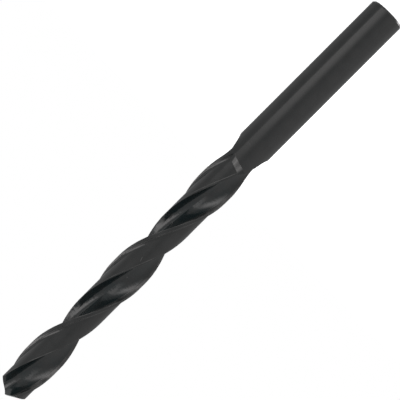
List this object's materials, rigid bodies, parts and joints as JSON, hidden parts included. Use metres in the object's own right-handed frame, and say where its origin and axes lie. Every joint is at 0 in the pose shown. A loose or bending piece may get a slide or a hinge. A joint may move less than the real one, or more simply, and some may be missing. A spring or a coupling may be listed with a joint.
{
  "type": "twist drill bit",
  "caption": "Straight-shank twist drill with long helical flutes, narrow full-diameter margins on relieved lands, and a conical ground point, in black oxide.",
  "frame": {"origin": "centre of the flat end face of the shank", "axes": "+Z along the drill's axis from the shank to the point; the two cutting lips lie along X"},
  "size_m": [0.009, 0.009, 0.125],
  "materials": {
    "black_oxide": "satin"
  },
  "bodies": {
    "root": {"twist_drill": "black_oxide"}
  },
  "joints": []
}
